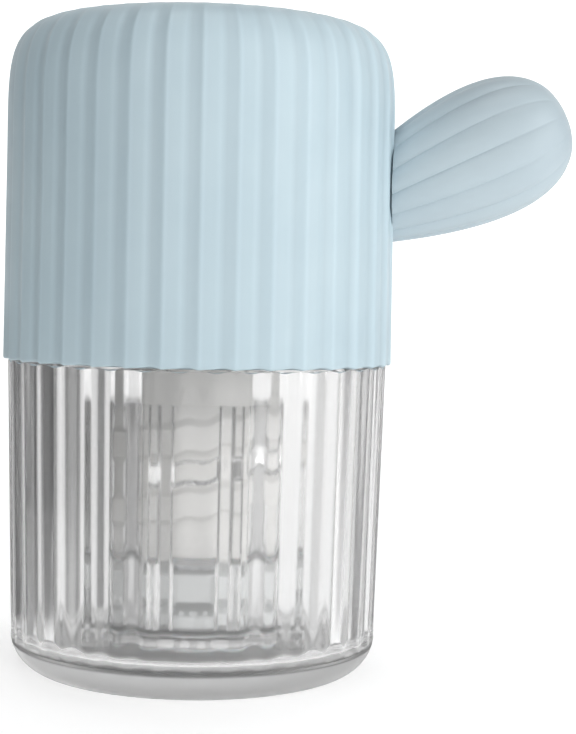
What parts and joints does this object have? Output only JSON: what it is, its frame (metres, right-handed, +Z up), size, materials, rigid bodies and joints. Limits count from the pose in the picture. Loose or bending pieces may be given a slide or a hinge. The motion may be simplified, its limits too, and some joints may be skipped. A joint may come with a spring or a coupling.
{
  "type": "pill crusher",
  "caption": "Screw-type pill crusher: clear fluted jar with an inner crushing cup, and a tall fluted cap with a ribbed side arm that turns a threaded spindle and presser.",
  "frame": {"origin": "centre of the jar's flat underside, on the floor", "axes": "+Z up along the jar's and the screw's axis; +X from the axis towards the side arm; +Y completes the right-handed frame"},
  "size_m": [0.0798, 0.0546, 0.0914],
  "materials": {
    "clear": "polished water-clear styrene-acrylonitrile",
    "clear_cup": "polished water-clear styrene-acrylonitrile",
    "blue": "satin pale-blue moulded ABS",
    "white": "satin white moulded ABS",
    "spindle_plastic": "smooth pale-grey moulded nylon",
    "silicone": "translucent natural silicone",
    "steel": "bright zinc-plated steel"
  },
  "bodies": {
    "jar_body": {"jar": "clear", "neck_ring": "silicone", "cup_pad": "silicone"},
    "cup_body": {"crushing_cup": "clear_cup", "grinding_disc": "white"},
    "presser_body": {"presser_foot": "white", "thrust_washer": "steel"},
    "cap_body": {"spindle": "spindle_plastic", "presser_screw": "steel", "cap_liner": "white", "cap_gasket": "silicone", "cap_shell": "blue", "arm": "blue", "arm_clamp_plate": "steel", "arm_screw_1": "steel", "arm_screw_2": "steel", "liner_screw_1": "steel", "liner_screw_2": "steel", "liner_screw_3": "steel", "flange_screw_1": "steel", "flange_screw_2": "steel", "flange_screw_3": "steel"}
  },
  "joints": [
    {"name": "cartridge_lift", "type": "slide", "parent": "jar_body", "child": "cup_body", "axis": [0, 0, 1], "range_m": [0, 0.06]},
    {"name": "presser_travel", "type": "slide", "parent": "cup_body", "child": "presser_body", "axis": [0, 0, 1], "range_m": [0, 0.018]},
    {"name": "cap_turn", "type": "hinge", "parent": "presser_body", "child": "cap_body", "pos_m": [0, 0, 0.05], "axis": [0, 0, 1], "range_deg": [0, 720]}
  ],
  "couplings": [
    {"joint": "cap_turn", "follows": "presser_travel", "rad_per_m": 698.13}
  ]
}
